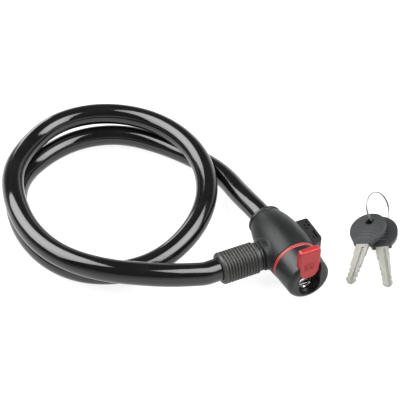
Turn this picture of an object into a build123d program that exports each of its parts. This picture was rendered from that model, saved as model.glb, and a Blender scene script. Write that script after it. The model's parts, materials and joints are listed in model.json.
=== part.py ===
from build123d import *
import os
from math import sqrt

os.makedirs("parts", exist_ok=True)

# Key-operated coil cable lock: a round lock head on one end of a thick sheathed
# steel cable, a ribbed connector on the other end that plugs into the side of the
# head, a sliding dust cover over the keyway, a carrier lug, and two keys on a ring.
# Units are millimetres. In the working frame the barrel axis lies along Y (nose
# towards -Y, cable entry towards +Y), the port axis along X (connector leaves
# towards -X) and +Z is up; both axes cross at the working origin. On export
# everything is shifted to stand on Z = 0, centred on X = Y = 0.

# ---------------------------------------------------------------- shared sizes
ORIGIN_X = -33.01         # working-frame X of the final origin
ORIGIN_Y = 69.60          # working-frame Y of the final origin
ORIGIN_Z = 0.099          # height of the lowest point above the working floor
AXIS_H = 16.8             # height of the barrel axis above the floor

RUN_GAP = 0.07            # running clearance, moving pieces
FIT_GAP = 0.05            # assembly clearance, fixed pieces
COS_45 = sqrt(0.5)

# cable
CABLE_R = 7.5             # sheath outer radius
SHEATH_BORE_R = 4.20
ROPE_R = 4.15             # steel rope radius

# lock head barrel: (y, radius) of the outer profile, rear to front
SHELL_PROFILE = [(27.0, 11.7), (24.0, 12.75), (20.0, 13.95), (15.0, 15.05), (10.0, 15.85),
                 (0.0, 16.6), (-8.0, 16.5), (-13.25, 15.93)]
SHELL_FRONT_Y = SHELL_PROFILE[-1][0]
SHELL_BORE_R = 12.25
SHELL_NECK_R = 10.10      # narrow rear bore
SHELL_STEP_Y = 17.0       # where the bore narrows
BOSS_R = 10.3             # port boss
BOSS_CHAMFER = 0.6
BOSS_BLEND_R = 1.8
MOUTH_X = -18.0           # port mouth plane

# tongue that carries the lug through the shell wall
TONGUE_Y0, TONGUE_Y1, TONGUE_HALF_H = -5.0, 7.0, 3.5

# port and connector pin
PIN_R = 5.00
PORT_BORE_R = PIN_R + 0.08
BUSH_R = 6.90

# key cylinder
CYL_Z = -6.0              # height of the cylinder axis
PLUG_R = 4.88
PLUG_Y0, PLUG_Y1 = -28.05, -9.50
DRIVE_R = 1.84            # eccentric radius of the drive pin
DRIVE_X = -DRIVE_R * COS_45
DRIVE_Z = CYL_Z + DRIVE_R * COS_45
WAFER_COUNT, WAFER_PITCH, WAFER_T = 5, 2.4, 1.0
WAFER_HALF_W, WAFER_HALF_H = 4.0, 2.6
WAFER_Y0 = -25.3
WAFER_YS = [WAFER_Y0 + WAFER_PITCH * i for i in range(WAFER_COUNT)]

BOLT_HALF_T = 1.20
RETAINING_PIN_Y, RETAINING_PIN_R = -11.15, 0.90
FERRULE_PIN_Y, FERRULE_PIN_R = 13.2, 1.0
FERRULE_PIN_HOLE_R = FERRULE_PIN_R + 0.03


# ---------------------------------------------------------------- helpers
def turned(points, axis=Axis.Y):
    """Solid of revolution from a closed polygon in the XY plane."""
    return revolve(make_face(Polyline(*points, close=True)), axis)


def turned_curves(curves, axis=Axis.Y):
    """Solid of revolution from a closed chain of curves in the XY plane."""
    return revolve(make_face(Curve() + curves), axis)


def rod_x(radius, x0, x1, z=0.0):
    return Pos((x0 + x1) / 2, 0, z) * Rot(0, 90, 0) * Cylinder(radius, abs(x1 - x0))


def rod_y(radius, y0, y1, x=0.0, z=0.0):
    return Pos(x, (y0 + y1) / 2, z) * Rot(90, 0, 0) * Cylinder(radius, abs(y1 - y0))


def rod_z(radius, z0, z1, y=0.0):
    return Pos(0, y, (z0 + z1) / 2) * Cylinder(radius, abs(z1 - z0))


def block(x0, x1, y0, y1, z0, z1):
    centre = Pos((x0 + x1) / 2, (y0 + y1) / 2, (z0 + z1) / 2)
    return centre * Box(abs(x1 - x0), abs(y1 - y0), abs(z1 - z0))


def near(value, target):
    return abs(value - target) < 0.01


def soften(solid, radius, chosen):
    """Round the edges that pass the test `chosen`."""
    edges = [edge for edge in solid.edges() if chosen(edge)]
    for scale in (1.0, 0.8, 0.6, 0.4, 0.25):
        # guards against a radius the kernel cannot fit: the next smaller one is
        # used, and the solid stays sharp when none fits
        try:
            rounded = fillet(edges, radius * scale)
            if rounded.is_valid:
                return rounded
        except Exception:
            continue
    return solid


def barrel_form(gap=0.0):
    """Solid inside the barrel's outer profile, grown radially by gap."""
    outline = [(radius + gap, y) for y, radius in SHELL_PROFILE]
    rear, front = outline[0], outline[-1]
    return turned_curves([Spline(*outline), Polyline(front, (0, front[1]), (0, rear[1]), rear)])


# ---------------------------------------------------------------- barrel
def body_shell():
    boss_root_x = -6.0
    boss = turned([(MOUTH_X, 0), (MOUTH_X, BOSS_R - BOSS_CHAMFER),
                   (MOUTH_X + BOSS_CHAMFER, BOSS_R), (boss_root_x, BOSS_R),
                   (boss_root_x, 0)], Axis.X)

    def boss_root(edge):
        box = edge.bounding_box()
        return (edge.center().X < -9.0 and MOUTH_X + 0.7 < box.max.X
                and box.size.Y > 12 and box.size.Z > 12 and box.size.X > 0.5)

    shell = soften(barrel_form() + boss, BOSS_BLEND_R, boss_root)
    shell -= rod_y(SHELL_BORE_R, -20, SHELL_STEP_Y)
    shell -= rod_y(SHELL_NECK_R, 10, 30)
    shell -= rod_x(BUSH_R + 0.1, -20, boss_root_x)
    # window for the lug tongue
    shell -= block(10.0, 18.0, TONGUE_Y0 - FIT_GAP, TONGUE_Y1 + FIT_GAP,
                   -TONGUE_HALF_H - FIT_GAP, TONGUE_HALF_H + FIT_GAP)
    return shell


def rear_collar():
    """Ring closing the cable entry: its bore guides the sheath."""
    # (radius, y)
    return turned([(7.62, 23.05), (10.0, 23.05), (10.0, 27.05), (11.75, 27.05), (12.0, 27.5),
                   (12.0, 28.9), (11.6, 29.4), (10.6, 29.7), (9.3, 29.7), (8.9, 29.3),
                   (8.9, 28.4), (7.62, 28.4)])


BAND_Y0, BAND_Y1 = SHELL_FRONT_Y - FIT_GAP, -16.05
BAND_R, BAND_BORE_R = 15.8, 12.30
BAND_CROWN = 0.35         # bulge of the outer face


def band_ring():
    """Coloured band between shell and nose cap, with a crowned outer face."""
    edge_r = BAND_R - BAND_CROWN
    rear, front = (edge_r, BAND_Y0), (edge_r, BAND_Y1)
    bore_rear = (BAND_BORE_R, BAND_Y0)
    return turned_curves([Polyline(bore_rear, rear),
                          ThreePointArc(rear, (BAND_R, (BAND_Y0 + BAND_Y1) / 2), front),
                          Polyline(front, (BAND_BORE_R, BAND_Y1), bore_rear)])


# ---------------------------------------------------------------- nose cap and dust cover
CAP_Y0, CAP_Y1 = BAND_Y1 - FIT_GAP, -33.60
CAP_R0, CAP_R1 = 15.55, 14.60
CAP_FILLET = 3.3
CAP_WALL_Y = -26.0        # inner face of the front wall
CHANNEL_FLOOR_Y = -28.10
CHANNEL_HALF_W = 7.45
CHANNEL_ROUND_Z = -3.75   # centre height of the channel's round lower end
GROOVE_HALF_W = 8.45      # side grooves that guide the cover rails
GROOVE_Y0, GROOVE_Y1 = -28.60, -29.95
GROOVE_BOTTOM_Z = -4.60

# cover, fully raised
COVER_HALF_W = CHANNEL_HALF_W - RUN_GAP
COVER_Y0, COVER_Y1 = CHANNEL_FLOOR_Y - RUN_GAP, -32.10
COVER_Z0, COVER_Z1 = 1.70, 25.40
COVER_CORNER = 4.6        # cut-back of the lower corners
COVER_TOP_R = 2.3
COVER_LOWER_R = 1.2
COVER_RIM_R = 1.1
RAIL_Z0, RAIL_Z1 = 6.40, 11.00
GRIP_COUNT, GRIP_PITCH, GRIP_Z0 = 4, 1.45, 9.7
GRIP_HALF_W, GRIP_HALF_H = 3.6, 0.34


def nose_cap():
    side_end = (CAP_R1, CAP_Y1 + CAP_FILLET)
    face_edge = (CAP_R1 - CAP_FILLET, CAP_Y1)
    inset = CAP_FILLET * (1 - COS_45)
    cap = turned_curves([Polyline((0, CAP_Y0), (CAP_R0, CAP_Y0), side_end),
                         ThreePointArc(side_end, (CAP_R1 - inset, CAP_Y1 + inset), face_edge),
                         Polyline(face_edge, (0, CAP_Y1), (0, CAP_Y0))])
    cap -= rod_y(SHELL_BORE_R, CAP_Y0 + 1, CAP_WALL_Y)
    # channel for the cover, round at its lower end, with a groove down each side
    cap -= block(-CHANNEL_HALF_W, CHANNEL_HALF_W, CHANNEL_FLOOR_Y, -40, CHANNEL_ROUND_Z, 20)
    cap -= rod_y(CHANNEL_HALF_W, CHANNEL_FLOOR_Y, -40, z=CHANNEL_ROUND_Z)
    cap -= block(-GROOVE_HALF_W, GROOVE_HALF_W, GROOVE_Y0, GROOVE_Y1,
                 GROOVE_BOTTOM_Z, RAIL_Z1 + 0.10)
    cap -= rod_y(PLUG_R + 0.12, -24, -30, z=CYL_Z)
    return cap


def dust_cover():
    # right half of the outline (x, z), top to bottom
    half = [(COVER_HALF_W, COVER_Z1), (COVER_HALF_W, COVER_Z0 + COVER_CORNER),
            (COVER_HALF_W - COVER_CORNER * 0.62, COVER_Z0 + COVER_CORNER * 0.2),
            (COVER_HALF_W - COVER_CORNER, COVER_Z0)]
    outline = [(-x, z) for x, z in half] + half[::-1]
    face = Plane.XZ * make_face(Polyline(*outline, close=True))
    cover = Pos(0, COVER_Y0, 0) * extrude(face, COVER_Y0 - COVER_Y1)

    def through(edge):
        return edge.bounding_box().size.Y > 1.5

    cover = soften(cover, COVER_TOP_R, lambda edge: near(abs(edge.center().X), COVER_HALF_W)
                   and near(edge.center().Z, COVER_Z1) and through(edge))
    cover = soften(cover, COVER_LOWER_R, lambda edge: through(edge) and edge.center().Z < 10)
    cover = soften(cover, COVER_RIM_R, lambda edge: near(edge.center().Y, COVER_Y1))
    # side rails, then the grip ridges across the front
    cover += block(-GROOVE_HALF_W + RUN_GAP, GROOVE_HALF_W - RUN_GAP,
                   GROOVE_Y0 - RUN_GAP, GROOVE_Y1 + RUN_GAP, RAIL_Z0, RAIL_Z1)
    for i in range(GRIP_COUNT):
        z = GRIP_Z0 + GRIP_PITCH * i
        cover += block(-GRIP_HALF_W, GRIP_HALF_W, COVER_Y1 + 0.3, COVER_Y1 - 0.35,
                       z - GRIP_HALF_H, z + GRIP_HALF_H)
    return cover


# ---------------------------------------------------------------- die-cast core
CORE_R = SHELL_BORE_R - FIT_GAP
CORE_NECK_R = SHELL_NECK_R - FIT_GAP
CORE_Y0, CORE_Y1, CORE_Y2 = -25.90, SHELL_STEP_Y - FIT_GAP, 22.90
BOLT_SLOT_HALF_T = BOLT_HALF_T + 0.08


def lock_core():
    core = rod_y(CORE_R, CORE_Y0, CORE_Y1) + rod_y(CORE_NECK_R, CORE_Y1 - 1, CORE_Y2)
    core -= rod_y(PLUG_R + RUN_GAP, -30, -8.9, z=CYL_Z)
    core -= rod_x(PORT_BORE_R, -14, 8.6)
    core -= rod_x(BUSH_R + FIT_GAP, -14, -8.5)
    # ferrule bore
    core -= rod_y(6.55, 9.9, 24)
    # slot for the bolt plate and for the wider tab at its front end
    core -= block(-BOLT_SLOT_HALF_T, BOLT_SLOT_HALF_T, -9.1, 7.6, -10.5, 14)
    core -= block(-4.15, 1.75, -9.1, -6.3, -9.9, 14)
    # pocket beside the wafers
    core -= block(3.6, 6.2, WAFER_Y0 - 1.0, WAFER_YS[-1] + 0.9, CYL_Z - 2.8, CYL_Z + 2.8)
    core -= rod_z(RETAINING_PIN_R + 0.05, -2.5, 13, y=RETAINING_PIN_Y)
    core -= rod_z(FERRULE_PIN_HOLE_R, -13, 13, y=FERRULE_PIN_Y)
    return core


def port_bushing():
    inner_x = -8.55
    return turned([(MOUTH_X + 0.05, PORT_BORE_R + 0.7), (MOUTH_X + 0.75, PORT_BORE_R),
                   (inner_x, PORT_BORE_R), (inner_x, BUSH_R), (MOUTH_X + 0.35, BUSH_R),
                   (MOUTH_X + 0.05, BUSH_R - 0.3)], Axis.X)


# ---------------------------------------------------------------- rear cable anchor
def cable_ferrule():
    ferrule = rod_y(6.50, 10.0, 22.6) - rod_y(SHEATH_BORE_R, 16.4, 24)
    ferrule -= rod_z(FERRULE_PIN_HOLE_R, -13, 13, y=FERRULE_PIN_Y)
    return ferrule


def ferrule_pin():
    return rod_z(FERRULE_PIN_R, -12.05, 12.05, y=FERRULE_PIN_Y)


# ---------------------------------------------------------------- key cylinder
KEYWAY_HALF_W, KEYWAY_HALF_H = 3.90, 1.25
KEYWAY_END_Y = PLUG_Y0 + 15.4
DRIVE_PIN_R = 0.90
WAFER_SIDE_GAP, WAFER_FACE_GAP = 0.06, 0.03


def wafer_slot(y, x0, x1):
    half_t = WAFER_T / 2 + WAFER_FACE_GAP
    half_h = WAFER_HALF_H + WAFER_SIDE_GAP
    return block(x0, x1, y - half_t, y + half_t, CYL_Z - half_h, CYL_Z + half_h)


def cylinder_plug():
    plug = rod_y(PLUG_R, PLUG_Y0, PLUG_Y1, z=CYL_Z)
    plug = soften(plug, 0.8, lambda edge: near(edge.center().Y, PLUG_Y0))
    # shallow recess in the front face, then the keyway
    plug -= rod_y(3.95, PLUG_Y0 - 1, PLUG_Y0 + 0.45, z=CYL_Z)
    plug -= block(-KEYWAY_HALF_W, KEYWAY_HALF_W, PLUG_Y0 - 1, KEYWAY_END_Y,
                  CYL_Z - KEYWAY_HALF_H, CYL_Z + KEYWAY_HALF_H)
    # groove round the plug for the retaining pin
    plug -= Pos(0, 0, CYL_Z) * turned([(4.05, -12.05), (6.0, -12.05),
                                       (6.0, -10.15), (4.05, -10.15)])
    for y in WAFER_YS:
        plug -= wafer_slot(y, -WAFER_HALF_W - WAFER_SIDE_GAP, 6.0)
    # ward rib along the keyway, interrupted at the wafers
    ward = block(0.75, 1.65, PLUG_Y0 + 0.5, KEYWAY_END_Y,
                 CYL_Z + 0.85, CYL_Z + KEYWAY_HALF_H + 0.2)
    plug += ward - Compound([wafer_slot(y, 0, 3) for y in WAFER_YS])
    # eccentric drive pin on the rear face
    plug += rod_y(DRIVE_PIN_R, PLUG_Y1 - 0.5, -6.95, x=DRIVE_X, z=DRIVE_Z)
    return plug


def tumbler_wafers():
    window_w, window_half_h = 6.2, 1.35
    wafers = []
    for i, y in enumerate(WAFER_YS):
        wafer = block(-WAFER_HALF_W, WAFER_HALF_W, y - WAFER_T / 2, y + WAFER_T / 2,
                      CYL_Z - WAFER_HALF_H, CYL_Z + WAFER_HALF_H)
        window_x = -3.3 + 0.25 * (i % 3)
        wafer -= block(window_x, window_x + window_w, y - 2, y + 2,
                       CYL_Z - window_half_h, CYL_Z + window_half_h)
        wafers.append(wafer)
    return wafers


def plug_retaining_pin():
    return rod_z(RETAINING_PIN_R, -1.85, 12.0, y=RETAINING_PIN_Y)


# ---------------------------------------------------------------- locking bolt (raised)
BOLT_HOLE_R = 5.25
BOLT_HOLE_Z0, BOLT_HOLE_Z1 = -0.30, 0.50   # end centres of the oblong hole
BOLT_FRONT_Y = -8.8
TAB_REAR_Y = -6.8
DRIVE_SLOT_HALF_H = 1.03
SPRING_Z0, SPRING_Z1 = 8.45, 11.90
SPRING_R, SPRING_WIRE_R, SPRING_PITCH = 0.90, 0.2, 0.86


def locking_bolt():
    bolt = block(-BOLT_HALF_T, BOLT_HALF_T, BOLT_FRONT_Y, 7.3, -7.6, 8.2)
    bolt -= (rod_x(BOLT_HOLE_R, -3, 3, z=BOLT_HOLE_Z1) + rod_x(BOLT_HOLE_R, -3, 3, z=BOLT_HOLE_Z0)
             + block(-3, 3, -BOLT_HOLE_R, BOLT_HOLE_R, BOLT_HOLE_Z0, BOLT_HOLE_Z1))
    # front tab and its cross slot for the drive pin
    bolt += block(-4.0, 1.6, BOLT_FRONT_Y, TAB_REAR_Y, -7.0, -1.4)
    bolt -= block(-2.95, -0.15, -9.5, TAB_REAR_Y,
                  DRIVE_Z - DRIVE_SLOT_HALF_H, DRIVE_Z + DRIVE_SLOT_HALF_H)
    return bolt


def bolt_spring():
    helix = Helix(pitch=SPRING_PITCH, height=SPRING_Z1 - SPRING_Z0 - 0.25, radius=SPRING_R,
                  center=(0, 0, SPRING_Z0))
    return sweep(Plane(origin=helix @ 0, z_dir=helix % 0) * Circle(SPRING_WIRE_R), path=helix)


# ---------------------------------------------------------------- connector
GROOVE_R = 3.00           # locking groove round the pin
GROOVE_HALF = 1.50
SHANK_R = 6.2             # part of the pin inside the sleeve
SLEEVE_BORE_R = SHANK_R + FIT_GAP
SLEEVE_X0, SLEEVE_X1 = -21.0, -47.6
SLEEVE_STEP_X = -41.2     # the bore widens here for the sheath
RIB_X0 = -22.3            # plain narrow neck up to here
NECK_R = 9.15
RIB_COUNT, RIB_PITCH = 11, 2.03
RIB_VALLEY_R, RIB_PEAK_R = 9.72, 10.55


def connector_pin():
    # (x, radius) from the tip towards the cable, then back inside the cable socket
    return turned([(7.2, 0), (7.2, 3.4), (5.6, PIN_R), (GROOVE_HALF, PIN_R),
                   (GROOVE_HALF, GROOVE_R), (-GROOVE_HALF, GROOVE_R), (-GROOVE_HALF, PIN_R),
                   (-19.0, PIN_R), (-19.0, 7.2), (-20.9, 7.2), (-20.9, 4.9), (-22.0, 4.9),
                   (-22.0, SHANK_R), (-41.0, SHANK_R), (-41.0, SHEATH_BORE_R),
                   (-24.2, SHEATH_BORE_R), (-24.2, 0)], Axis.X)


def port_seal():
    return turned([(-18.05, 5.15), (-18.05, 8.6), (-18.5, 8.95), (-18.95, 8.6),
                   (-18.95, 5.15)], Axis.X)


def neck_ring():
    return turned([(-19.0, 7.25), (-19.0, 8.9), (-19.5, 8.9), (-19.7, 9.6), (-20.2, 9.6),
                   (-20.4, 8.9), (-20.9, 8.9), (-20.9, 7.25)], Axis.X)


def grip_sleeve():
    bore_start = (SLEEVE_X0, SLEEVE_BORE_R)
    curves = [Polyline(bore_start, (SLEEVE_X0, NECK_R), (RIB_X0, NECK_R),
                       (RIB_X0, RIB_VALLEY_R))]
    x = RIB_X0
    for _ in range(RIB_COUNT):
        rib_end = (x - RIB_PITCH * 0.84, RIB_VALLEY_R)
        curves.append(ThreePointArc((x, RIB_VALLEY_R), (x - RIB_PITCH * 0.42, RIB_PEAK_R),
                                    rib_end))
        curves.append(Line(rib_end, (x - RIB_PITCH, RIB_VALLEY_R)))
        x -= RIB_PITCH
    # rounded tail towards the cable
    curves.append(Polyline((x, RIB_VALLEY_R), (x - 0.1, 10.2)))
    curves.append(Spline((x - 0.1, 10.2), (x - 0.5, 10.5), (x - 1.7, 10.4),
                         (SLEEVE_X1 + 0.35, 9.75), (SLEEVE_X1, 9.2)))
    curves.append(Polyline((SLEEVE_X1, 9.2), (SLEEVE_X1, CABLE_R + FIT_GAP),
                           (SLEEVE_STEP_X, CABLE_R + FIT_GAP), (SLEEVE_STEP_X, SLEEVE_BORE_R),
                           bore_start))
    return turned_curves(curves, Axis.X)


# ---------------------------------------------------------------- cable
# centre line from head to connector: working x and y, height above the floor
PATH = [
    (-0.34, 42.65, 16.38), (-1.62, 57.68, 14.46), (-2.33, 72.78, 12.82), (-3.47, 87.87, 11.36),
    (-6.56, 102.65, 9.70), (-11.90, 116.80, 8.24), (-19.13, 130.14, 7.62), (-27.91, 142.58, 7.75),
    (-38.40, 153.70, 8.40), (-50.76, 162.77, 9.05), (-64.69, 168.84, 9.25), (-79.36, 171.33, 8.95),
    (-94.01, 170.37, 8.40), (-108.15, 166.12, 7.85), (-121.25, 158.91, 7.60),
    (-132.58, 148.91, 7.75), (-140.92, 135.99, 8.05), (-145.78, 121.03, 8.22),
    (-147.85, 105.35, 8.15), (-147.53, 89.53, 7.92), (-144.51, 73.92, 7.68), (-138.38, 59.22, 7.60),
    (-129.09, 46.52, 7.72), (-116.99, 37.02, 8.17), (-103.02, 31.07, 8.78), (-88.08, 28.70, 9.50),
    (-73.09, 30.45, 10.66), (-59.00, 35.80, 12.42), (-46.22, 43.76, 14.41), (-35.06, 53.88, 16.32),
    (-26.14, 66.03, 18.14), (-19.94, 79.78, 19.82), (-16.59, 94.52, 21.26), (-16.21, 109.65, 22.40),
    (-18.72, 124.60, 23.26), (-23.98, 138.83, 23.88), (-31.91, 151.77, 24.31),
    (-42.36, 162.85, 24.56), (-54.94, 171.44, 24.66), (-69.09, 176.92, 24.60),
    (-83.84, 178.79, 24.36), (-98.07, 176.65, 23.93), (-110.87, 170.78, 23.35),
    (-122.24, 162.25, 23.02), (-132.23, 151.59, 23.06), (-140.31, 138.79, 23.42),
    (-145.57, 123.87, 23.66), (-148.41, 107.84, 23.54), (-149.11, 91.70, 23.14),
    (-147.50, 75.98, 22.78), (-143.32, 60.88, 22.62), (-136.40, 46.74, 22.76),
    (-126.91, 34.20, 23.02), (-115.50, 23.64, 23.06), (-102.69, 15.25, 22.66),
    (-89.02, 8.67, 21.45), (-74.91, 3.48, 19.31), (-60.25, 0.45, 17.25)]
STATIONS = [Vector(x, y, height - AXIS_H) for x, y, height in PATH]
SPLIT_INDEX = 5           # station where the head-side and coil-side runs part
SPLIT_GAP = 0.10
LEAD_STRAIGHT_Y = 29.0    # cable is straight from the head out to here
STRAIGHT_X = -48.0        # and from here into the connector


def heading(i):
    """Cable direction at a station, taken from its neighbours."""
    return (STATIONS[min(i + 1, len(STATIONS) - 1)] - STATIONS[i - 1]).normalized()


def arc_chain(points, tangents):
    """Tangent-continuous chain of circular arcs, two between each pair of points."""
    arcs = []
    for start, start_dir, end, end_dir in zip(points, tangents, points[1:], tangents[1:]):
        span, dir_sum = end - start, start_dir + end_dir
        along = span.dot(dir_sum)
        bend = 2 * (1 - start_dir.dot(end_dir))
        if bend > 1e-9:
            reach = (-along + sqrt(along ** 2 + bend * span.dot(span))) / bend
        else:
            reach = span.dot(span) / (2 * along)
        joint = (start + end + (start_dir - end_dir) * reach) * 0.5
        chord = (joint - start).normalized()
        joint_dir = chord * (2 * chord.dot(start_dir)) - start_dir
        arcs.append(TangentArc(start, joint, tangent=start_dir))
        arcs.append(TangentArc(joint, end, tangent=joint_dir))
    return arcs


# every second station carries the curve; the ones between only set headings
SPLIT_DIR = heading(SPLIT_INDEX)
LEAD_END = STATIONS[SPLIT_INDEX] - SPLIT_DIR * (SPLIT_GAP / 2)
COIL_START = STATIONS[SPLIT_INDEX] + SPLIT_DIR * (SPLIT_GAP / 2)
LEAD_KEYS = range(1, SPLIT_INDEX, 2)
COIL_KEYS = range(SPLIT_INDEX + 2, len(STATIONS), 2)
LEAD_ARCS = arc_chain(
    [Vector(0, LEAD_STRAIGHT_Y, 0)] + [STATIONS[i] for i in LEAD_KEYS] + [LEAD_END],
    [Vector(0, 1, 0)] + [heading(i) for i in LEAD_KEYS] + [SPLIT_DIR])
COIL_ARCS = arc_chain(
    [COIL_START] + [STATIONS[i] for i in COIL_KEYS] + [Vector(STRAIGHT_X, 0, 0)],
    [SPLIT_DIR] + [heading(i) for i in COIL_KEYS] + [Vector(1, 0, 0)])


def tube(edges, start, direction, outer_r, bore_r=None):
    section = Circle(outer_r) if bore_r is None else Circle(outer_r) - Circle(bore_r)
    return sweep(Plane(origin=start, z_dir=direction) * section, path=Wire(edges))


def lead_run(start_y, *radii):
    """Head-side run, starting inside the head at start_y."""
    straight = Line((0, start_y, 0), (0, LEAD_STRAIGHT_Y, 0))
    return tube([straight] + LEAD_ARCS, (0, start_y, 0), (0, 1, 0), *radii)


def coil_run(end_x, *radii):
    """Coil-side run, ending inside the connector at end_x."""
    straight = Line((STRAIGHT_X, 0, 0), (end_x, 0, 0))
    return tube(COIL_ARCS + [straight], COIL_START, SPLIT_DIR, *radii)


# ---------------------------------------------------------------- carrier lug
LUG_X0, LUG_X1 = 13.0, 23.2
LUG_Y0, LUG_Y1 = -11.2, 13.4
LUG_HALF_H = 6.5
LUG_FRONT_R, LUG_REAR_R, LUG_RIM_R = 6.5, 1.2, 0.45
PANEL_DEPTH, POCKET_DEPTH, SLOT_DEPTH = 0.5, 1.6, 3.2
POCKET_HALF_X, POCKET_HALF_Y = 0.8, 0.85
POCKET_XS, POCKET_YS = (18.6, 21.0), (5.0, 7.9)
POCKET_SLOPE = 0.9        # y shift of the outer pockets per unit of x


def mounting_lug():
    lug = block(LUG_X0, LUG_X1, LUG_Y0, LUG_Y1, -LUG_HALF_H, LUG_HALF_H)
    for corner_y, radius in ((LUG_Y0, LUG_FRONT_R), (LUG_Y1, LUG_REAR_R)):
        lug = soften(lug, radius, lambda edge: near(edge.center().X, LUG_X1)
                     and near(edge.center().Y, corner_y))
    lug = soften(lug, LUG_RIM_R, lambda edge: near(abs(edge.center().Z), LUG_HALF_H)
                 and edge.center().X > LUG_X0 + 0.5)
    for side in (1, -1):
        def sink(x0, x1, y0, y1, depth):
            return block(x0, x1, y0, y1, side * (LUG_HALF_H + 1), side * (LUG_HALF_H - depth))

        # sunk panels leaving a raised border and a cross rib
        lug -= sink(17.2, 22.3, 2.3, 12.4, PANEL_DEPTH)
        lug -= sink(17.2, 22.3, -6.9, 1.2, PANEL_DEPTH)
        # two by two pockets in the rear panel
        for x in POCKET_XS:
            for row_y in POCKET_YS:
                y = row_y + (x - POCKET_XS[0]) * POCKET_SLOPE
                lug -= sink(x - POCKET_HALF_X, x + POCKET_HALF_X,
                            y - POCKET_HALF_Y, y + POCKET_HALF_Y, POCKET_DEPTH)
        # long slot beside the outer edge and a short slit in the front panel
        lug -= sink(20.3, 21.5, -6.2, 1.0, SLOT_DEPTH)
        lug -= sink(18.0, 19.0, -6.5, -2.6, POCKET_DEPTH)
    # seat on the barrel with a small standoff, and the tongue
    lug -= barrel_form(FIT_GAP)
    lug += block(12.32, 17.0, TONGUE_Y0, TONGUE_Y1, -TONGUE_HALF_H, TONGUE_HALF_H)
    return lug


# ---------------------------------------------------------------- keys
# Key frame: u (X) from the ring hole along the blade, v (Y) across, Z head normal.
# name: hole centre (x, y, height above floor), blade direction, head normal
KEYS = {
    "key_1": ((69.196, 5.477, 7.25), (-0.6960, -0.7135, -0.0811), (-0.3130, 0.2000, 0.9285)),
    "key_2": ((75.286, 3.780, 3.64), (-0.4242, -0.9054, -0.0190), (-0.1490, 0.0490, 0.9876)),
}
KEY_T = 3.0               # head thickness
KEY_HOLE_R = 2.9
# (u, v) of one half of the head outline
HEAD_HALF = [(-7.7, 0.0), (-6.6, 5.0), (-3.6, 9.0), (1.2, 11.7), (6.6, 12.3), (11.8, 11.2),
             (16.6, 8.6), (19.8, 6.6), (21.0, 5.6)]
# (u, half length) of the cross grooves on both head faces
HEAD_GROOVES = [(6.3, 8.2), (9.1, 8.6), (11.9, 8.2), (14.7, 7.0)]
HEAD_GROOVE_HALF_W, HEAD_GROOVE_DEPTH = 0.35, 0.3

BLADE_T = 2.2
TANG_U, TANG_HALF_W = 7.0, 3.4             # tang inside the head
ROOT_U, ROOT_HALF_W, BLADE_HALF_W = 20.9, 4.3, 3.7
BLADE_GROOVE_DEPTH = 0.55
SEAT_GAP = 0.03           # clearance round the blade in the head
# (u, v) of the bitting: the -v edge out to the tip, then the +v edge back
BITTING = [(40.2, -3.7), (41.4, -2.7), (42.6, -2.7), (43.4, -3.3), (44.6, -3.3), (45.6, -2.3),
           (46.8, -2.3), (47.8, -3.1), (49.0, -3.1), (49.8, -2.6), (51.0, -2.6), (51.8, -3.3),
           (53.0, -3.3), (55.0, -1.9), (55.6, -1.0),
           (55.6, 1.0), (55.0, 1.9), (53.0, 3.3), (52.0, 3.3), (51.0, 2.4), (49.8, 2.4),
           (48.8, 3.2), (47.6, 3.2), (46.8, 2.7), (45.4, 2.7), (44.4, 3.5), (43.2, 3.5),
           (42.2, 3.0), (41.2, 3.0), (40.2, 3.7)]


def key_head():
    sides = [Spline(*[(u, side * v) for u, v in HEAD_HALF], tangents=((0, side), (0.3, -side)))
             for side in (1, -1)]
    end_u, end_v = HEAD_HALF[-1]
    outline = make_face(Curve() + sides + [Line((end_u, end_v), (end_u, -end_v))])
    head = Pos(0, 0, -KEY_T / 2) * extrude(outline, KEY_T)

    def on_face(edge):
        return near(abs(edge.center().Z), KEY_T / 2)

    head = soften(head, 0.55, on_face)
    head -= Cylinder(KEY_HOLE_R, 10)
    head = soften(head, 0.35, lambda edge: edge.geom_type == GeomType.CIRCLE
                  and near(edge.radius, KEY_HOLE_R) and on_face(edge))
    for side in (1, -1):
        for u, half in HEAD_GROOVES:
            head -= block(u - HEAD_GROOVE_HALF_W, u + HEAD_GROOVE_HALF_W, -half, half,
                          side * (KEY_T / 2 - HEAD_GROOVE_DEPTH), side * (KEY_T / 2 + 1))
    # pocket for the tang and the blade root
    half_t = BLADE_T / 2 + SEAT_GAP
    tang, root = [block(u - SEAT_GAP, 22.0, -half_w - SEAT_GAP, half_w + SEAT_GAP, -half_t, half_t)
                  for u, half_w in ((TANG_U, TANG_HALF_W), (ROOT_U, ROOT_HALF_W))]
    return head - (tang + root)


def key_blade():
    root = [(TANG_U, -TANG_HALF_W), (ROOT_U, -TANG_HALF_W), (ROOT_U, -ROOT_HALF_W),
            (30.0, -ROOT_HALF_W), (31.0, -BLADE_HALF_W)]
    outline = root + BITTING + [(u, -v) for u, v in reversed(root)]
    blade = Pos(0, 0, -BLADE_T / 2) * extrude(make_face(Polyline(*outline, close=True)), BLADE_T)
    for side in (1, -1):
        blade -= block(24.0, 57.0, side * 0.5, side * 1.9,
                       side * (BLADE_T / 2 - BLADE_GROOVE_DEPTH), side * 3)
    return blade


def key_location(hole, along, up):
    u_dir = Vector(*along).normalized()
    normal = Vector(*up)
    normal = (normal - u_dir * normal.dot(u_dir)).normalized()
    return Plane(origin=Vector(*hole) - Vector(0, 0, AXIS_H), x_dir=u_dir, z_dir=normal).location


# split ring
RING_R, RING_WIRE_R = 11.86, 0.34
RING_PITCH, RING_TURNS = 0.75, 1.93
RING_CENTRE = (79.342, 12.469, 10.255)     # x, y, height above the floor
RING_NORMAL = (0.401, -0.682, 0.612)


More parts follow.
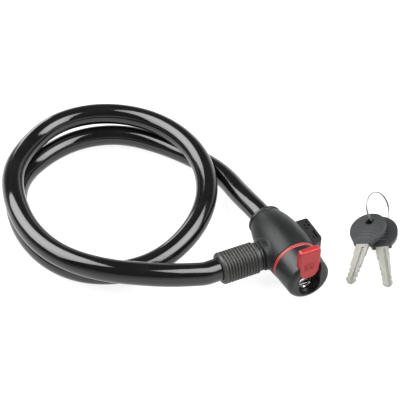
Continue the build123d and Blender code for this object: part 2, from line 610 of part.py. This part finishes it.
def key_ring():
    height = RING_PITCH * RING_TURNS
    coil = Helix(pitch=RING_PITCH, height=height, radius=RING_R)
    wire = sweep(Plane(origin=coil @ 0, z_dir=(coil % 0) * -1) * Circle(RING_WIRE_R), path=coil)
    centre = Vector(*RING_CENTRE) - Vector(0, 0, AXIS_H)
    ring_plane = Plane(origin=centre, z_dir=Vector(*RING_NORMAL))
    return ring_plane.location * (Pos(0, 0, -height / 2) * wire)


# ---------------------------------------------------------------- output
SHIFT = Location((-ORIGIN_X, -ORIGIN_Y, AXIS_H - ORIGIN_Z))


def export(name, *shapes):
    solids = [solid.moved(SHIFT) for shape in shapes for solid in shape.solids()]
    body = solids[0] if len(solids) == 1 else Compound(children=solids)
    body.label = name
    export_step(body, "parts/" + name + ".step")


for piece in (body_shell, rear_collar, band_ring, nose_cap, dust_cover, lock_core, port_bushing,
              cable_ferrule, ferrule_pin, cylinder_plug, plug_retaining_pin, locking_bolt,
              bolt_spring, connector_pin, port_seal, neck_ring, grip_sleeve, mounting_lug,
              key_ring):
    export(piece.__name__, piece())
export("tumbler_wafers", *tumbler_wafers())

export("cable_sheath_lead", lead_run(23.2, CABLE_R, SHEATH_BORE_R))
export("cable_rope_lead", lead_run(16.5, ROPE_R))
export("cable_sheath_coil", coil_run(-41.3, CABLE_R, SHEATH_BORE_R))
export("cable_rope_coil", coil_run(-24.4, ROPE_R))

head, blade = key_head(), key_blade()
for name, placing in KEYS.items():
    export(name + "_head", key_location(*placing) * head)
    export(name + "_blade", key_location(*placing) * blade)
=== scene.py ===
"""A cable lock: a lock head with its keys, and a steel rope in a glossy sheath.

Metres, +Z up. The cable leaves the head along +Y, winds nearly twice counter-clockwise (seen
from above) over the floor on the -X side, and comes back to the head along +X.
"""
import json
import math

import bpy
import numpy as np
from mathutils import Matrix, Vector


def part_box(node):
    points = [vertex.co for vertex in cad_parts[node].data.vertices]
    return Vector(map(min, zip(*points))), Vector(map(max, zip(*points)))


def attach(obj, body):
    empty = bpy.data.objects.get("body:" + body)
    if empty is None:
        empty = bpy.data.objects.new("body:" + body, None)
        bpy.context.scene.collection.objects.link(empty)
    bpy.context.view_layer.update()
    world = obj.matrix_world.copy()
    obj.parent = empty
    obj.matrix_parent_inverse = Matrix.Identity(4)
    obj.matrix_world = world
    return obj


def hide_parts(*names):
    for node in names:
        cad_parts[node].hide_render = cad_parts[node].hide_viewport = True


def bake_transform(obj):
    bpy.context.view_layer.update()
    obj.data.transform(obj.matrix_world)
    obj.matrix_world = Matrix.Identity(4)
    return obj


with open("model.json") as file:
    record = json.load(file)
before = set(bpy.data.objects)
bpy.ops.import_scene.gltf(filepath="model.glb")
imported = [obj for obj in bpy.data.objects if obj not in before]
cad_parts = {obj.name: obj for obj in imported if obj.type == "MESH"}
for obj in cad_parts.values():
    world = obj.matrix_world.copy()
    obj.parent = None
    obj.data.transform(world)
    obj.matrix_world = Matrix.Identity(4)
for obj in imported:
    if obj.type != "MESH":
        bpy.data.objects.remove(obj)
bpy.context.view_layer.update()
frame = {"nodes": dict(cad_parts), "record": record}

MM = 0.001


scene = bpy.context.scene

# ------------------------------------------------------------------ shader nodes


def feed(tree, node, inputs):
    """Links or sets each named input; None leaves it at its default."""
    for key, value in inputs.items():
        if isinstance(value, bpy.types.NodeSocket):
            tree.links.new(value, node.inputs[key])
        elif value is not None:
            node.inputs[key].default_value = value


def add_node(tree, kind, inputs=None, **settings):
    node = tree.nodes.new(kind)
    for key, value in settings.items():
        setattr(node, key, value)
    feed(tree, node, inputs or {})
    return node


def map_range(tree, value, over, out, curve="LINEAR"):
    """Maps the range `over` of a value to the range `out`."""
    inputs = {"Value": value, "From Min": over[0], "From Max": over[1],
              "To Min": out[0], "To Max": out[1]}
    node = add_node(tree, "ShaderNodeMapRange", inputs, interpolation_type=curve)
    return node.outputs["Result"]


class Graph:
    """A material with a Principled shader; its methods add nodes and return their outputs."""

    def __init__(self, name):
        self.material = bpy.data.materials.new(name)
        self.material.use_nodes = True
        self.tree = self.material.node_tree
        self.tree.nodes.clear()
        surface = self.node("ShaderNodeOutputMaterial")
        self.bsdf = self.node("ShaderNodeBsdfPrincipled")
        feed(self.tree, surface, {"Surface": self.bsdf.outputs["BSDF"]})
        self.coords = self.node("ShaderNodeTexCoord").outputs["Object"]

    def node(self, kind, inputs=None, **settings):
        return add_node(self.tree, kind, inputs, **settings)

    def noise(self, scale, detail=3.0, rough=0.5, stretch=None, coords=None, distortion=0.0):
        coords = coords or self.coords
        if stretch:
            mapping = self.node("ShaderNodeMapping", {"Vector": coords, "Scale": stretch})
            coords = mapping.outputs["Vector"]
        inputs = {"Vector": coords, "Scale": scale, "Detail": detail, "Roughness": rough,
                  "Distortion": distortion}
        return self.node("ShaderNodeTexNoise", inputs).outputs["Fac"]

    def cells(self, scale):
        inputs = {"Vector": self.coords, "Scale": scale}
        return self.node("ShaderNodeTexVoronoi", inputs, feature="F1").outputs["Distance"]

    def ramp(self, value, dark, light):
        """Blends two colours over the middle of a noise's range."""
        node = self.node("ShaderNodeValToRGB", {"Fac": value})
        stops = zip(node.color_ramp.elements, (0.35, 0.65), (dark, light))
        for stop, position, colour in stops:
            stop.position = position
            stop.color = (*colour, 1)
        return node.outputs["Color"]

    def span(self, value, out, over=(0.3, 0.7)):
        return map_range(self.tree, value, over, out)

    def math(self, operation, first, second):
        return self.node("ShaderNodeMath", {0: first, 1: second}, operation=operation).outputs[0]

    def mix(self, amount, under, colour):
        """Lays a plain colour over another colour output."""
        node = self.node("ShaderNodeMix", data_type="RGBA", blend_type="MIX")
        # each data type has its own sockets; only those in use are enabled
        amount_in, under_in, colour_in = [s for s in node.inputs if s.enabled]
        self.tree.links.new(amount, amount_in)
        self.tree.links.new(under, under_in)
        colour_in.default_value = (*colour, 1)
        return [s for s in node.outputs if s.enabled][0]

    def bump(self, height, distance, normal=None):
        inputs = {"Height": height, "Distance": distance, "Normal": normal}
        return self.node("ShaderNodeBump", inputs).outputs["Normal"]

    def edges(self, reach):
        """1 on outer edges, 0 on open faces."""
        node = self.node("ShaderNodeAmbientOcclusion", {"Distance": reach}, inside=True, samples=6)
        return self.span(node.outputs["AO"], out=(1.0, 0.0), over=(0.25, 0.85))

    def hollows(self, reach=0.0008):
        """1 down in grooves and corners, 0 on open faces."""
        node = self.node("ShaderNodeAmbientOcclusion", {"Distance": reach},
                         samples=6, only_local=True)
        return self.span(node.outputs["AO"], out=(1.0, 0.0), over=(0.35, 0.90))

    def bevel(self, radius):
        """Softened edge normal, or None for a radius of 0."""
        if not radius:
            return None
        return self.node("ShaderNodeBevel", {"Radius": radius}, samples=4).outputs["Normal"]

    def finish(self, **inputs):
        """Feeds the shader (underscores stand for spaces) and returns the material."""
        named = {key.replace("_", " "): value for key, value in inputs.items()}
        feed(self.tree, self.bsdf, named)
        return self.material


# ------------------------------------------------------------------ materials


def shade(colour, gain):
    return tuple(min(1.0, x * gain) for x in colour)


def moulded(name, base, rough, spec, wear_and_sheen, grain=20e-6, mottle=0.12, edge=0.0, dust=0.0,
            dust_colour=(0.085, 0.090, 0.095), wear_and_sheen_tone=2.2, reach=0.0005):
    """Moulded plastic: fine grain, slow colour drift, handling marks and paler edges.

    grain is the depth of the grain, mottle the colour drift, wear_and_sheen and
    wear_and_sheen_tone the strength and brightness of the lighter edges, which are partly rubbed
    by handling and partly a painted highlight; reach is their width, edge the rounding radius.
    """
    graph = Graph(name)
    drift = graph.noise(scale=38.0, detail=2.0)
    fine = graph.noise(scale=2600.0, detail=2.0, rough=0.6)
    marks = graph.noise(scale=260.0, detail=4.0, rough=0.65, stretch=(1.0, 0.25, 1.0),
                        distortion=0.6)
    colour = graph.ramp(drift, shade(base, 1 - mottle), shade(base, 1 + mottle))
    # edges painted lighter: partly rubbed by handling, partly a painted highlight where they catch
    # the light
    worn_and_lit = graph.math("MULTIPLY", graph.edges(reach), wear_and_sheen)
    colour = graph.mix(worn_and_lit, colour, shade(base, wear_and_sheen_tone))
    if dust:
        patches = graph.span(marks, out=(0.0, dust), over=(0.35, 0.6))
        settled = graph.math("MULTIPLY", graph.hollows(), patches)
        colour = graph.mix(settled, colour, dust_colour)
    roughness = graph.math("ADD", graph.span(drift, out=(rough * 0.92, rough * 1.08)),
                           graph.span(marks, out=(-0.03, 0.05)))
    return graph.finish(Base_Color=colour, Roughness=roughness,
                        Normal=graph.bump(fine, distance=grain, normal=graph.bevel(edge)),
                        Specular_IOR_Level=spec, Coat_Roughness=0.12)


def metal(name, base, rough, brush=(1, 1, 1), scale=900.0, aniso=0.0, tarnish=0.15,
          depth=8e-6, edge=0.0, hollow_shade=0.0, streak=0.22, metallic=1.0):
    """Worked metal: directional tool marks, uneven polish, faint tarnish.

    brush stretches the tool marks, scale sets their fineness, depth their relief and streak
    their darkness; hollow_shade paints shade into the hollows, edge is the rounding radius.
    """
    graph = Graph(name)
    lines = graph.noise(scale=scale, rough=0.6, stretch=brush)
    cloud = graph.noise(scale=140.0)
    pits = graph.noise(scale=2200.0, detail=2.0)
    colour = graph.ramp(cloud, shade(base, 1 - tarnish), shade(base, gain=1.03))
    colour = graph.mix(graph.span(lines, out=(0.0, streak)), colour, shade(base, gain=0.62))
    # painted shade: hollows and recesses are painted darker
    if hollow_shade:
        painted_shade_mask = graph.math("MULTIPLY", graph.hollows(), hollow_shade)
        colour = graph.mix(painted_shade_mask, colour, shade(base, gain=0.22))
    roughness = graph.math("ADD", graph.span(lines, out=(rough * 0.7, rough * 1.35)),
                           graph.span(cloud, out=(-0.03, 0.05)))
    normal = graph.bump(pits, distance=depth * 0.5, normal=graph.bevel(edge))
    normal = graph.bump(lines, distance=depth, normal=normal)
    return graph.finish(Base_Color=colour, Metallic=metallic, Roughness=roughness,
                        Normal=normal, Anisotropic=aniso)


def sheath(name):
    """Glossy sheath: die lines along the run, slow swell of the rope inside, dust and scuffs."""
    graph = Graph(name)
    run = graph.node("ShaderNodeAttribute", attribute_name="run").outputs["Vector"]
    die = graph.noise(scale=1.0, detail=2.0, stretch=(6.0, 90.0, 90.0), coords=run)
    swell = graph.noise(scale=70.0, detail=1.0)
    dust = graph.noise(scale=900.0, detail=4.0, rough=0.7)
    scuff = graph.noise(scale=1.0, detail=4.0, rough=0.6, stretch=(120.0, 30.0, 30.0),
                        coords=run, distortion=1.2)
    colour = graph.ramp(swell, dark=(0.0022, 0.0022, 0.0026), light=(0.0040, 0.0038, 0.0037))
    dusty = graph.span(dust, out=(0.0, 0.03), over=(0.62, 0.8))
    colour = graph.mix(dusty, colour, colour=(0.06, 0.06, 0.06))
    marks = graph.math("ADD", graph.span(die, out=(-0.02, 0.03)),
                       graph.span(scuff, out=(0.0, 0.10), over=(0.60, 0.80)))
    roughness = graph.math("ADD", graph.span(swell, out=(0.075, 0.105)), marks)
    normal = graph.bump(die, distance=12e-6)
    normal = graph.bump(swell, distance=100e-6, normal=normal)
    normal = graph.bump(scuff, distance=6e-6, normal=normal)
    return graph.finish(Base_Color=colour, Roughness=roughness, Normal=normal,
                        Specular_IOR_Level=0.56)


def rubber(name, base, rough):
    """Moulded rubber: fine pebble grain, bloom and painted highlight on raised edges, painted
    shade in grooves.
    """
    graph = Graph(name)
    cells = graph.cells(scale=1500.0)
    fine = graph.noise(scale=3200.0, detail=2.0)
    drift = graph.noise(scale=60.0)
    bloom = graph.noise(scale=420.0, detail=4.0, rough=0.65)
    colour = graph.ramp(drift, shade(base, gain=0.85), shade(base, gain=1.2))
    # raised edges painted lighter: partly rubber bloom, partly a painted highlight
    bloom_and_sheen = graph.math("MULTIPLY", graph.edges(reach=0.0004), graph.span(bloom, out=(0.05, 0.5)))
    colour = graph.mix(bloom_and_sheen, colour, colour=(0.040, 0.040, 0.034))
    # painted shade: the grooves between the ribs are painted darker
    groove_shade = graph.math("MULTIPLY", graph.hollows(reach=0.0010), 0.7)
    colour = graph.mix(groove_shade, colour, shade(base, gain=0.25))
    normal = graph.bump(fine, distance=20e-6, normal=graph.bump(cells, distance=30e-6))
    roughness = graph.span(bloom, out=(rough - 0.07, rough + 0.07))
    return graph.finish(Base_Color=colour, Roughness=roughness, Normal=normal,
                        Specular_IOR_Level=0.62)


def strand(name):
    """Steel rope: laid wires, with painted shade in the grooves between them."""
    graph = Graph(name)
    inputs = {"Vector": graph.coords, "Scale": 420.0, "Distortion": 0.6}
    wires = graph.node("ShaderNodeTexWave", inputs, wave_type="BANDS",
                       bands_direction="DIAGONAL").outputs["Fac"]
    # painted shade: the grooves between the wires are painted darker
    colour = graph.ramp(wires, dark=(0.22, 0.22, 0.22), light=(0.62, 0.62, 0.61))
    roughness = graph.span(graph.noise(scale=900.0), out=(0.25, 0.5))
    return graph.finish(Base_Color=colour, Metallic=1.0, Roughness=roughness,
                        Normal=graph.bump(wires, distance=0.0002))


# material slot: its builder and the builder's settings
RECIPES = {
    "shell_plastic": (moulded, dict(
        base=(0.0072, 0.0082, 0.0079), rough=0.41, grain=14e-6, spec=0.235, wear_and_sheen=0.10,
        edge=0.0003)),
    "nose_plastic": (moulded, dict(
        base=(0.0066, 0.0076, 0.0074), rough=0.36, grain=10e-6, spec=0.33, wear_and_sheen=0.12,
        edge=0.0003)),
    "lug_plastic": (moulded, dict(
        base=(0.0042, 0.0042, 0.0042), rough=0.46, spec=0.45, wear_and_sheen=0.10, edge=0.0003)),
    "band_plastic": (moulded, dict(
        base=(0.245, 0.020, 0.022), rough=0.42, grain=6e-6, mottle=0.05, spec=0.50, wear_and_sheen=0.05)),
    "cover_plastic": (moulded, dict(
        base=(0.275, 0.011, 0.014), rough=0.34, grain=6e-6, mottle=0.05, spec=0.36, wear_and_sheen=0.12,
        edge=0.0003)),
    "grip_rubber": (rubber, dict(base=(0.0118, 0.0118, 0.0102), rough=0.50)),
    "seal_rubber": (rubber, dict(base=(0.004, 0.004, 0.004), rough=0.70)),
    "sheath_pvc": (sheath, {}),
    "rope_steel": (strand, {}),
    "core_zinc": (metal, dict(
        base=(0.40, 0.41, 0.43), rough=0.45, scale=500.0, depth=20e-6, hollow_shade=0.5)),
    "hardened_steel": (metal, dict(
        base=(0.50, 0.50, 0.50), rough=0.24, brush=(1.0, 8.0, 8.0), edge=0.0002)),
    "cylinder_chrome": (metal, dict(
        base=(0.88, 0.88, 0.88), rough=0.12, scale=1600.0, tarnish=0.05, edge=0.0002,
        hollow_shade=0.8)),
    "wafer_brass": (metal, dict(
        base=(0.34, 0.29, 0.20), rough=0.32, brush=(6.0, 1.0, 1.0), aniso=0.3, hollow_shade=0.6)),
    "spring_steel": (metal, dict(base=(0.45, 0.45, 0.46), rough=0.30, aniso=0.3)),
    # key heads: their strongly lightened edges are a painted highlight along the raised ribs
    "key_head_plastic": (moulded, dict(
        base=(0.0170, 0.0190, 0.0205), rough=0.44, grain=18e-6, mottle=0.25, spec=0.42,
        wear_and_sheen=0.8, edge=0.0002, dust=0.9, wear_and_sheen_tone=6.0, reach=0.00022)),
    "key_nickel": (metal, dict(
        base=(0.31, 0.31, 0.278), rough=0.42, brush=(2.0, 9.0, 1.0), tarnish=0.10, depth=4e-6,
        edge=0.0002, hollow_shade=1.0, streak=0.10, metallic=0.5)),
    "ring_steel": (metal, dict(
        base=(0.30, 0.30, 0.275), rough=0.40, scale=1500.0, tarnish=0.25)),
}
MATERIALS = {name: build(name, **values) for name, (build, values) in RECIPES.items()}

for part in frame["record"]["subparts"]:
    piece = frame["nodes"].get(part["node"])
    if piece is None:
        continue
    material = MATERIALS[part["material_slot"]]
    if piece.material_slots:
        for slot in piece.material_slots:
            slot.material = material
    else:
        piece.data.materials.append(material)

# ------------------------------------------------------------------ tube meshes


def frames_along(line):
    """Tangents and two side directions along a polyline, twisting as little as possible."""
    tangents = np.gradient(line, axis=0)
    tangents /= np.linalg.norm(tangents, axis=1)[:, None]
    side = np.array((0.0, 0.0, 1.0))
    sides = []
    for tangent in tangents:
        side = side - tangent * (side @ tangent)
        side = side / np.linalg.norm(side)
        sides.append(side)
    sides = np.array(sides)
    return tangents, sides, np.cross(tangents, sides)


def tube_rings(line, radius, seg, ripple):
    """Rings of points round a line, and the (length, cos, sin) "run" of each point."""
    _, sides, others = frames_along(line)
    steps = np.linalg.norm(np.diff(line, axis=0), axis=1)
    length = np.r_[0, np.cumsum(steps)][:, None]
    angle = np.linspace(0, 2 * np.pi, seg, endpoint=False)[None, :]
    cos, sin = np.cos(angle), np.sin(angle)
    reach = radius + ripple(length, angle)
    outward = cos[..., None] * sides[:, None, :] + sin[..., None] * others[:, None, :]
    rings = line[:, None, :] + reach[..., None] * outward
    run = np.stack(np.broadcast_arrays(length, cos * radius, sin * radius), -1)
    return rings, run


def with_cap_centres(rings):
    """All the points of the rings, then the centres of the first and last ring."""
    return np.vstack([rings.reshape(-1, 3), rings[0].mean(0), rings[-1].mean(0)])


def capped_tube(name, slot, rings, run):
    """A closed tube: both ends get a fan round a point on the centre line."""
    count, seg = rings.shape[:2]
    total = count * seg
    last = total - seg
    after = [(j + 1) % seg for j in range(seg)]
    faces = [(i * seg + j, i * seg + after[j], (i + 1) * seg + after[j], (i + 1) * seg + j)
             for i in range(count - 1) for j in range(seg)]
    faces += [(total, after[j], j) for j in range(seg)]
    faces += [(total + 1, last + j, last + after[j]) for j in range(seg)]

    mesh = bpy.data.meshes.new(name)
    mesh.from_pydata([tuple(point) for point in with_cap_centres(rings)], [], faces)
    mesh.validate()
    mesh.polygons.foreach_set("use_smooth", [True] * len(mesh.polygons))
    attribute = mesh.attributes.new("run", "FLOAT_VECTOR", "POINT")
    attribute.data.foreach_set("vector", with_cap_centres(run).astype(np.float32).ravel())
    mesh.materials.append(MATERIALS[slot])
    mesh.update()
    tube = bpy.data.objects.new(name, mesh)
    scene.collection.objects.link(tube)
    return tube


# ------------------------------------------------------------------ cable centre line

AXIS_H = 16.8  # height of the head's axes in the cable's millimetres
STEP = 1.5  # spacing of the rings, mm
# along +Y from the head: the lead's end, where it starts to bend, where it starts to blend
LEAD_END_Y, LEAD_BEND_Y, BLEND_START_Y = 23.4, 29.0, 30.0
# on the head's -X side: where the coil runs straight, and its end
COIL_STRAIGHT_X, COIL_END_X = -48.0, -41.4
SPLIT = 5  # the path point where lead and coil part

# x and y from the crossing of the head's axes, z with those axes at AXIS_H, mm
PATH = np.array([
    (-0.34, 42.65, 16.38), (-1.62, 57.68, 14.46), (-2.33, 72.78, 12.82), (-3.47, 87.87, 11.36),
    (-6.56, 102.65, 9.70), (-11.90, 116.80, 8.24), (-19.13, 130.14, 7.62), (-27.91, 142.58, 7.75),
    (-38.40, 153.70, 8.40), (-50.76, 162.77, 9.05), (-64.69, 168.84, 9.25), (-79.36, 171.33, 8.95),
    (-94.01, 170.37, 8.40), (-108.15, 166.12, 7.85), (-121.25, 158.91, 7.60),
    (-132.58, 148.91, 7.75), (-140.92, 135.99, 8.05), (-145.78, 121.03, 8.22),
    (-147.85, 105.35, 8.15), (-147.53, 89.53, 7.92), (-144.51, 73.92, 7.68),
    (-138.38, 59.22, 7.60), (-129.09, 46.52, 7.72), (-116.99, 37.02, 8.17),
    (-103.02, 31.07, 8.78), (-88.08, 28.70, 9.50), (-73.09, 30.45, 10.66), (-59.00, 35.80, 12.42),
    (-46.22, 43.76, 14.41), (-35.06, 53.88, 16.32), (-26.14, 66.03, 18.14), (-19.94, 79.78, 19.82),
    (-16.59, 94.52, 21.26), (-16.21, 109.65, 22.40), (-18.72, 124.60, 23.26),
    (-23.98, 138.83, 23.88), (-31.91, 151.77, 24.31), (-42.36, 162.85, 24.56),
    (-54.94, 171.44, 24.66), (-69.09, 176.92, 24.60), (-83.84, 178.79, 24.36),
    (-98.07, 176.65, 23.93), (-110.87, 170.78, 23.35), (-122.24, 162.25, 23.02),
    (-132.23, 151.59, 23.06), (-140.31, 138.79, 23.42), (-145.57, 123.87, 23.66),
    (-148.41, 107.84, 23.54), (-149.11, 91.70, 23.14), (-147.50, 75.98, 22.78),
    (-143.32, 60.88, 22.62), (-136.40, 46.74, 22.76), (-126.91, 34.20, 23.02),
    (-115.50, 23.64, 23.06), (-102.69, 15.25, 22.66), (-89.02, 8.67, 21.45),
    (-74.91, 3.48, 19.31), (-60.25, 0.45, 17.25)])

# the head's axes cross at the port
bush_low, bush_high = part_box("port_bushing")
collar_low, collar_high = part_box("rear_collar")
HEAD = np.array([(collar_low.x + collar_high.x) / 2, (bush_low.y + bush_high.y) / 2,
                 (bush_low.z + bush_high.z) / 2])


def to_frame(point):
    return HEAD + (np.asarray(point, float) - np.array([0, 0, AXIS_H])) * MM


def on_axis(x, y):
    return np.array([x, y, AXIS_H])


def unit(vector):
    return vector / np.linalg.norm(vector)


def station(i):
    """A path point and the cable's direction there."""
    return PATH[i], unit(PATH[min(i + 1, len(PATH) - 1)] - PATH[i - 1])


def straight(start, end, step=STEP):
    count = max(2, int(round(np.linalg.norm(end - start) / step)) + 1)
    return [start + (end - start) * f for f in np.linspace(0, 1, count)]


def arc(start, tangent, end):
    """Points on the arc that leaves start along tangent and finishes at end."""
    chord = np.linalg.norm(end - start)
    cosine = float(np.clip((end - start) / chord @ tangent, -1, 1))
    half_angle = math.acos(cosine)
    if half_angle < 1e-5:
        return straight(start, end)
    inward = unit((end - start) / chord - tangent * cosine)
    radius = chord / (2 * math.sin(half_angle))
    count = max(2, int(round(chord / STEP)) + 1)
    return [start + tangent * radius * math.sin(f) + inward * radius * (1 - math.cos(f))
            for f in np.linspace(0, 2 * half_angle, count)]


def biarcs(stations):
    """A smooth line through the stations: two arcs that meet halfway for each gap."""
    line = [stations[0][0]]
    for (start, leave), (end, arrive) in zip(stations, stations[1:]):
        gap, both = end - start, leave + arrive
        along = gap @ both
        bend = 2 * (1 - leave @ arrive)
        if bend > 1e-9:
            handle = (-along + math.sqrt(along ** 2 + bend * (gap @ gap))) / bend
        else:
            handle = (gap @ gap) / (2 * along)
        middle = (start + end + (leave - arrive) * handle) * 0.5
        chord = unit(middle - start)
        middle_tangent = chord * (2 * (chord @ leave)) - leave
        line += arc(start, leave, middle)[1:] + arc(middle, middle_tangent, end)[1:]
    return line


# the line passes through every second path point; the others only steer its direction
lead_bend = on_axis(0, LEAD_BEND_Y)
lead_stations = [(lead_bend, np.array([0, 1.0, 0]))]
lead_stations += [station(i) for i in range(1, SPLIT + 1, 2)]
coil_straight = on_axis(COIL_STRAIGHT_X, 0)
coil_stations = [station(i) for i in range(SPLIT, len(PATH), 2)]
coil_stations += [(coil_straight, np.array([1.0, 0, 0]))]

lead_line = straight(on_axis(0, LEAD_END_Y), lead_bend) + biarcs(lead_stations)[1:]
coil_line = biarcs(coil_stations) + straight(coil_straight, on_axis(COIL_END_X, 0))[1:]
line = np.array([to_frame(point) for point in lead_line + coil_line[1:]])
lead_count = len(lead_line)

# ------------------------------------------------------------------ sheath and rope

SHEATH_R, SHEATH_SEG = 7.5, 64
ROPE_R, ROPE_SEG, STRANDS = 4.15, 48, 6
ROPE_LAY = 0.060  # length of one turn of the strands, metres
GROOVE = 0.45  # depth between strands, mm


def sheath_ripple(length, angle):
    """Slow out-of-round and the faint swell of the rope's lay under the sheath."""
    turn = 2 * np.pi
    return MM * (0.035 * np.sin(turn * length / 0.083 + 1.1) * np.cos(angle + 0.6)
                 + 0.030 * np.sin(turn * length / 0.047 + 2 * angle + 0.4)
                 + 0.018 * np.sin(STRANDS * angle - turn * length / ROPE_LAY))


def rope_ripple(length, angle):
    """The rope's outer strands."""
    phase = STRANDS * 0.5 * (angle - 2 * np.pi * length / ROPE_LAY)
    return MM * GROOVE * (np.abs(np.cos(phase)) - 1.0)


def bend_with_lead(tube, replaced):
    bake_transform(tube)
    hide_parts(replaced)


rings, run = tube_rings(line, SHEATH_R * MM, SHEATH_SEG, sheath_ripple)
lead_part = slice(0, lead_count)
coil_part = slice(lead_count - 1, len(line))
lead = capped_tube("cable_lead_skin", "sheath_pvc", rings[lead_part], run[lead_part])
coil = capped_tube("cable_coil_skin", "sheath_pvc", rings[coil_part], run[coil_part])

# one surface split in two: both sides of the parting get the same normals
tangents = frames_along(line)[0]
for skin, part in ((lead, lead_part), (coil, coil_part)):
    normals = (rings[part] - line[part][:, None, :]).reshape(-1, 3)
    normals /= np.linalg.norm(normals, axis=1)[:, None]
    normals = np.vstack([normals, -tangents[part][0], tangents[part][-1]])
    skin.data.normals_split_custom_set_from_vertices([tuple(normal) for normal in normals])

bend_with_lead(lead, "cable_sheath_lead")
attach(coil, "connector_cable")
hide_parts("cable_sheath_coil")

# the rope inside the lead follows its line, and reaches further into the head
rope_start = np.array([HEAD[0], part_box("cable_rope_lead")[0].y, HEAD[2]])
rope_line = np.vstack([straight(rope_start, line[0], step=STEP * MM)[:-1], line[:lead_count]])
rope = capped_tube("cable_lead_rope", "rope_steel",
                   *tube_rings(rope_line, ROPE_R * MM, ROPE_SEG, rope_ripple))
bend_with_lead(rope, "cable_rope_lead")

# ------------------------------------------------------------------ floor

FLOOR_Z = -0.0002
FLOOR_GLOW = 0.88


def floor_white():
    """Evenly lit for the lens; in reflections its glow falls away towards -X."""
    graph = Graph("floor_white")
    tone = graph.noise(scale=3.0, detail=2.0)
    across = graph.node("ShaderNodeSeparateXYZ", {0: graph.coords}).outputs["X"]
    reflected = graph.span(across, out=(0.10, FLOOR_GLOW), over=(-0.42, -0.14))
    seen = graph.node("ShaderNodeLightPath").outputs["Is Camera Ray"]
    direct = graph.math("MULTIPLY", seen, FLOOR_GLOW)
    indirect = graph.math("MULTIPLY", graph.math("SUBTRACT", 1.0, seen), reflected)
    return graph.finish(
        Base_Color=graph.ramp(tone, dark=(0.21, 0.21, 0.21), light=(0.23, 0.23, 0.23)),
        Roughness=0.8, Specular_IOR_Level=0.1, Emission_Color=(1.0, 1.0, 1.0, 1.0),
        Emission_Strength=graph.math("ADD", direct, indirect))


floor_mesh = bpy.data.meshes.new("floor")
floor_mesh.from_pydata([(-4, -3, 0), (4, -3, 0), (4, 6, 0), (-4, 6, 0)], [], [(0, 1, 2, 3)])
floor = bpy.data.objects.new("floor", floor_mesh)
scene.collection.objects.link(floor)
floor.location.z = FLOOR_Z
floor_mesh.materials.append(floor_white())

# ------------------------------------------------------------------ world


def build_world():
    """White, bright at the horizon and dim overhead, dimmer again on the camera's left."""
    world = bpy.data.worlds.new("studio")
    scene.world = world
    world.use_nodes = True
    tree = world.node_tree
    ray = add_node(tree, "ShaderNodeTexCoord").outputs["Generated"]
    height = add_node(tree, "ShaderNodeSeparateXYZ", {0: ray}).outputs["Z"]
    level = map_range(tree, height, over=(0.06, 0.42), out=(1.15, 0.14), curve="SMOOTHSTEP")
    leftward = add_node(tree, "ShaderNodeVectorMath", {0: ray, 1: (-0.86, 0.51, 0.0)},
                        operation="DOT_PRODUCT").outputs["Value"]
    dim = map_range(tree, leftward, over=(0.25, 0.85), out=(1.0, 0.30), curve="SMOOTHSTEP")
    strength = add_node(tree, "ShaderNodeMath", {0: level, 1: dim}, operation="MULTIPLY")
    feed(tree, tree.nodes["Background"], {"Strength": strength.outputs[0], "Color": (1, 1, 1, 1)})


build_world()

# ------------------------------------------------------------------ lights

LIGHT_TARGET = Vector((-0.02, 0.0, 0.02))
LIGHT_DISTANCE = 1.15
LIGHT_POWER = 4.0  # watts per square metre of panel


def panel(name, away, edge, size, peak, rim, hot=(0.5, 0.5)):
    """Flat softbox in the direction `away` from the target; `edge` is the direction of its
    first side, `size` its sides per metre of distance. Its glow is `peak` at the hot spot and
    falls to `rim` a full side away from it."""
    outward = Vector(away).normalized()
    side = Vector(edge)
    side = (side - outward * side.dot(outward)).normalized()
    light = bpy.data.lights.new(name, "AREA")
    light.shape = "RECTANGLE"
    light.size, light.size_y = size[0] * LIGHT_DISTANCE, size[1] * LIGHT_DISTANCE
    light.energy = LIGHT_POWER * light.size * light.size_y
    light.use_nodes = True
    tree = light.node_tree
    place = add_node(tree, "ShaderNodeNewGeometry").outputs["Parametric"]
    flat = add_node(tree, "ShaderNodeVectorMath", {0: place, 1: (1.0, 1.0, 0.0)},
                    operation="MULTIPLY").outputs["Vector"]
    off = add_node(tree, "ShaderNodeVectorMath", {0: flat, 1: (*hot, 0.0)},
                   operation="DISTANCE").outputs["Value"]
    glow = map_range(tree, off, over=(0.0, 1.0), out=(peak, rim), curve="SMOOTHSTEP")
    feed(tree, tree.nodes["Emission"], {"Strength": glow})
    lamp = bpy.data.objects.new(name, light)
    scene.collection.objects.link(lamp)
    turn = Matrix((side, outward.cross(side), outward)).transposed().to_4x4()
    lamp.matrix_world = Matrix.Translation(LIGHT_TARGET + outward * LIGHT_DISTANCE) @ turn


panel("softbox_left", away=(-0.56, 0.42, 0.757), edge=(-0.80, 0.06, -0.60), size=(1.0, 1.0),
      peak=7.7, rim=3.4, hot=(0.45, 0.5))
panel("softbox_right", away=(0.53, -0.35, 0.77), edge=(0.62, -0.78, 0.0), size=(0.96, 0.80),
      peak=7.7, rim=3.2)
panel("strip_back", away=(-0.03, 0.97, 0.23), edge=(0.0, 0.0, 1.0), size=(0.40, 0.18),
      peak=3.2, rim=2.4)

# ------------------------------------------------------------------ camera

# from the point AXIS_H below the crossing of the head's axes
CAMERA_OFFSET = (-0.25098, -0.41865, 0.49516)
CAMERA_RIGHT = Vector((0.91055, -0.41340, 0.0))
CAMERA_FORWARD = Vector((0.3072, 0.6767, -0.6691))

camera_data = bpy.data.cameras.new("camera")
camera = bpy.data.objects.new("camera", camera_data)
scene.collection.objects.link(camera)
camera_data.sensor_width = 36.0
camera_data.lens = 93.78
camera_data.clip_start = 0.01
forward = CAMERA_FORWARD.normalized()
up = CAMERA_RIGHT.cross(forward).normalized()
right = forward.cross(up).normalized()
x, y, z = CAMERA_OFFSET
position = Vector(HEAD) + Vector((x, y, z - AXIS_H * MM))
turn = Matrix((right, up, -forward)).transposed().to_4x4()
camera.matrix_world = Matrix.Translation(position) @ turn
scene.camera = camera
scene.view_settings.view_transform = "Standard"
